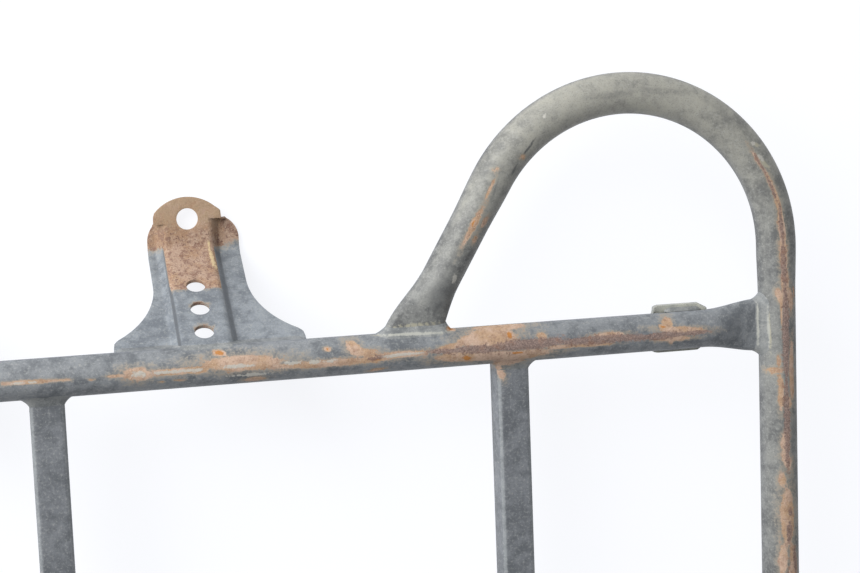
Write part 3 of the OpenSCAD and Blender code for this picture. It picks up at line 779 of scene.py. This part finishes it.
def saddle_mesh(name):
    """A sheet that follows the tube's underside and turns out into two short lips, with cut corners."""
    wrap_r = TUBE_R + SADDLE_SHEET / 2
    wrap = [(wrap_r * math.cos(a), wrap_r * math.sin(a)) for a in np.linspace(3.8, 5.6, 22)]
    front = [(10.6, -7.0), (11.6, -6.4), (13.0, -6.0), (14.6, -5.6)]
    rear = [(-14.0, -7.2), (-12.6, -7.3), (-11.4, -7.5)]
    profile = rear + wrap + front
    points, faces, rows = [], [], np.linspace(-17, 17, 24)
    for u in rows:
        for v, w in profile:
            # The corners are cut off: much at the outboard end, and little inboard
            cut = max(0.0, u - 11.0) * 0.55 if u > 0 else max(0.0, -u - 15.0) * 0.5
            points.append((u, v - math.copysign(cut, v) if abs(v) > 11 else v, w))
    n = len(profile)
    for i in range(len(rows) - 1):
        for j in range(n - 1):
            faces.append((i * n + j, (i + 1) * n + j, (i + 1) * n + j + 1, i * n + j + 1))
    made = piece_from(name, points, faces)
    thick = made.modifiers.new("sheet", "SOLIDIFY")
    thick.thickness = SADDLE_SHEET * MM
    thick.offset = 0
    soft = made.modifiers.new("rolled_edge", "BEVEL")
    soft.width = 0.4 * MM
    soft.segments = 2
    soft.limit_method = "ANGLE"
    soft.angle_limit = math.radians(50)
    return apply_modifiers(made)


for side, hand in ((1, "right"), (-1, "left")):
    piece = saddle_mesh("saddle_plate_" + hand + "_pressed")
    piece.data.transform(Matrix.Translation((SADDLE_X * MM, SADDLE_Y * MM, AXIS_Z * MM)))
    if side < 0:
        piece.data.transform(Matrix.Diagonal((-1, 1, 1, 1)))
        piece.data.flip_normals()
    finish_piece(piece, saddle_paint, "saddle_paint", "saddle_plate_" + hand)

# ---- Weld beads ----
# Every joint has a hand-run arc weld, painted over: a low fillet with faint ripples and a wavy edge, which
# fills the corner between two parts.

weld_paint = worn_paint("painted_weld", "#63686c", "#85898c", "#a3a29a", 0.45, clay="#b9b9af")
FACETS = 8
RIPPLE = 2.4


def fillet_mesh(name, runs, seed):
    """Fillet welds: each run has points on one part, in the corner and on the other part, how far the bead
    bulges, and whether it closes on itself."""
    draw, points, faces = np.random.default_rng(seed), [], []
    for one, corner, other, bulge, closed in runs:
        one, corner, other = (np.asarray(v, float) for v in (one, corner, other))
        count, first, phase = len(corner), len(points), draw.uniform(0, 6.28)
        walk = np.concatenate([[0], np.cumsum(np.linalg.norm(np.diff(corner, axis=0), axis=1))])
        for i in range(count):
            wave = math.sin(walk[i] / 3.3 + phase) + 0.6 * math.sin(walk[i] / 1.9 + 2 * phase)
            ends = 1.0 if closed else 0.55 + 0.45 * min(1, min(i, count - 1 - i) / 3)
            a = corner[i] + (one[i] - corner[i]) * (0.94 + 0.03 * wave) * ends
            b = corner[i] + (other[i] - corner[i]) * (0.94 - 0.03 * wave) * ends
            middle = (a + b) / 2
            swell = bulge + 0.05 * math.sin(walk[i] * 2 * math.pi / RIPPLE + phase)
            top = middle + (middle - corner[i]) * swell
            for t in np.linspace(0, 1, FACETS):
                points.append((1 - t) ** 2 * a + 2 * t * (1 - t) * top + t ** 2 * b)
            points.append(corner[i] + (corner[i] - middle) * 0.35)
        ring = FACETS + 1
        for i in range(count if closed else count - 1):
            j = (i + 1) % count
            for k in range(ring):
                m = (k + 1) % ring
                here, there = first + i * ring, first + j * ring
                faces.append((here + k, here + m, there + m, there + k))
        if not closed:
            faces.append(tuple(first + k for k in range(ring))[::-1])
            faces.append(tuple(first + (count - 1) * ring + k for k in range(ring)))
    return piece_from(name, points, faces)


def outward(outline):
    """Unit directions out of a closed outline, point by point."""
    run = np.roll(outline, -1, 0) - np.roll(outline, 1, 0)
    out = np.stack([run[:, 1], -run[:, 0]], 1)
    return out / np.linalg.norm(out, axis=1)[:, None]


def on_tube(height):
    """Distance of a tube's skin from its vertical middle plane, at that height above its axis."""
    return np.sqrt(np.maximum(TUBE_R ** 2 - np.clip(height, -10.6, 10.6) ** 2, 1))


END_ON_TUBE, END_ON_RAIL = 5.5, 4.0
outline = tube_outline(pressed_at(TUBE_R))
out = outward(outline)
runs = []
for side in (-1, 1):
    u, v = outline[:, 0], outline[:, 1]
    corner = np.stack([side * (RAIL_X - on_tube(v)), FRONT_Y + u, AXIS_Z + v], 1)
    one = []
    for j in range(AROUND):
        gap = on_tube(v[j]) + END_ON_TUBE
        skin = tube_outline(pressed_at(gap))[j]
        one.append((side * (RAIL_X - gap), FRONT_Y + skin[0], AXIS_Z + skin[1]))
    grown = outline + END_ON_RAIL * out
    other = np.stack([side * (RAIL_X - on_tube(grown[:, 1])), FRONT_Y + grown[:, 0], AXIS_Z + grown[:, 1]], 1)
    runs.append((one, corner, other, -0.30, True))
piece = fillet_mesh("welds_cross_tube_ends_painted", runs, 21)
wear(piece)
finish_piece(piece, weld_paint, "weld_bead_paint", "welds_cross_tube_ends")

# The loops' feet meet the cross tube at a slant, so their welds follow an oblique cut
leg_start = np.array([
    RAIL_X - BEND_R - BEND_R * math.cos(LEG_ANGLE),
    FRONT_Y + LOOP_Y + BEND_R * math.sin(LEG_ANGLE),
])
leg_down = np.array([-math.sin(LEG_ANGLE), -math.cos(LEG_ANGLE)])
leg_side = np.array([-math.cos(LEG_ANGLE), math.sin(LEG_ANGLE)])
FOOT_ON_LEG, FOOT_ON_TUBE = 4.6, 4.0
runs = []
for side in (-1, 1):
    one, corner = [], []
    for j in range(AROUND):
        u, v = outline[j]
        base = leg_start + leg_side * u
        down = (FRONT_Y + on_tube(v) - base[1]) / leg_down[1]
        spot = base + leg_down * down
        corner.append((spot[0], spot[1], AXIS_Z + v))
        up_leg = down - FOOT_ON_LEG
        skin = tube_outline(pressed_at(LEG_LENGTH - up_leg))[j]
        spot = leg_start + leg_side * skin[0] + leg_down * up_leg
        one.append((spot[0], spot[1], AXIS_Z + skin[1]))
    corner, one = np.array(corner), np.array(one)
    around = corner[:, [0, 2]]
    spread = outward(around)
    if np.dot(spread[0], around[0] - around.mean(0)) < 0:
        spread = -spread
    grown = around + FOOT_ON_TUBE * spread
    other = np.stack([grown[:, 0], FRONT_Y + on_tube(grown[:, 1] - AXIS_Z), grown[:, 1]], 1)
    turn = np.array([side, 1, 1])
    runs.append((one * turn, corner * turn, other * turn, -0.25, True))
piece = fillet_mesh("welds_loop_feet_painted", runs, 22)
wear(piece)
finish_piece(piece, weld_paint, "weld_bead_paint", "welds_loop_feet")

# The slats' welds run up one side, over the top and down the other, and stop short of the underside
SLAT_LEG = 4.6
NEAREST = 8.5
flat, half_w = SLAT_W / 2 - SLAT_R, SLAT_W / 2
turn = np.linspace(math.pi, math.pi / 2, 8)
slat_path = [(-half_w, v) for v in np.linspace(-6.5, flat - 0.6, 14)]
slat_path += [(-flat + SLAT_R * math.cos(a), flat + SLAT_R * math.sin(a)) for a in turn]
slat_path += [(u, half_w) for u in np.linspace(-flat + 0.8, 0, 8)]
slat_path = np.array(slat_path + [(-u, v) for u, v in slat_path[-2::-1]])
travel = np.gradient(slat_path, axis=0)
travel /= np.linalg.norm(travel, axis=1)[:, None]
spread = np.stack([-travel[:, 1], travel[:, 0]], 1)
slat_drop = SLAT_MIDDLE - AXIS_Z
for y, toward, end in ((FRONT_Y, -1, "front"), (REAR_Y, 1, "rear")):
    runs = []
    for i in (-1, 0, 1):
        u, v = slat_path[:, 0] + i * SLAT_PITCH, slat_path[:, 1] + slat_drop
        corner = np.stack([u, y + toward * np.maximum(on_tube(v), NEAREST), AXIS_Z + v], 1)
        one = corner + [0, toward * SLAT_LEG, 0]
        wide = np.stack([u, v], 1) + SLAT_LEG * spread
        reached = y + toward * np.maximum(on_tube(wide[:, 1]), NEAREST)
        other = np.stack([wide[:, 0], reached, AXIS_Z + wide[:, 1]], 1)
        runs.append((one, corner, other, -0.30, False))
    piece = fillet_mesh("welds_slats_" + end + "_painted", runs, 23 + toward)
    wear(piece)
    finish_piece(piece, weld_paint, "weld_bead_paint", "welds_slats_" + end)

SHEET_LEG = 4.2
for y, end in ((FRONT_Y, "front"), (REAR_Y, "rear")):
    runs = []
    for side in (-1, 1):
        rows = [[], [], []]
        for x in np.linspace(FLANGE_SHIFT - BASE_HALF + 1, FLANGE_SHIFT + BASE_HALF - 1, 120):
            top = WEB_REACH + SHEET / 2 + float(hat_height(np.array(x), np.array(10.0)))
            turn = math.asin(min(top / TUBE_R, 0.985))
            back = turn + SHEET_LEG / TUBE_R
            s = TUBE_R * math.cos(turn)
            for row, (down, off) in zip(rows, ((s + SHEET_LEG, top), (s, top),
                                               (TUBE_R * math.cos(back), TUBE_R * math.sin(back)))):
                row.append((side * (BRACKET_X + x), y + down * math.cos(SLOPE) + off * math.sin(SLOPE),
                            AXIS_Z - down * math.sin(SLOPE) + off * math.cos(SLOPE)))
        runs.append((*rows, -0.1, False))
    piece = fillet_mesh("welds_" + end + "_brackets_painted", runs, 31)
    wear(piece)
    finish_piece(piece, weld_paint, "weld_bead_paint", "welds_" + end + "_brackets")

runs = []
for side in (-1, 1):
    for ahead in (-1, 1):
        xs = np.linspace(SADDLE_X - 10, SADDLE_X + 13, 26)
        rows = []
        for v, w in ((12.9, -4.9 if ahead > 0 else -6.2), (10.7, -6.2), (10.4, -3.6)):
            rows.append(np.array([(side * x, SADDLE_Y + ahead * v, AXIS_Z + w) for x in xs]))
        runs.append((*rows, 0.1, False))
piece = fillet_mesh("welds_saddle_plates_painted", runs, 41)
finish_piece(piece, weld_paint, "weld_bead_paint", "welds_saddle_plates")

# The butt joints' beads go right round the rails
BEAD_SIDES = 72
runs = []
for side in (-1, 1):
    turn = np.linspace(0, 2 * math.pi, BEAD_SIDES, endpoint=False)
    rows = []
    for radius, step_y in ((TUBE_R, -3.2), (TUBE_R - 0.9, 0), (TUBE_R, 3.2)):
        rows.append(np.stack([side * RAIL_X + radius * np.cos(turn), np.full(BEAD_SIDES, JOINT_Y + step_y),
                              AXIS_Z + radius * np.sin(turn)], 1))
    runs.append((*rows, 2.2, True))
piece = fillet_mesh("welds_rail_joints_painted", runs, 51)
wear(piece)
finish_piece(piece, weld_paint, "weld_bead_paint", "welds_rail_joints")
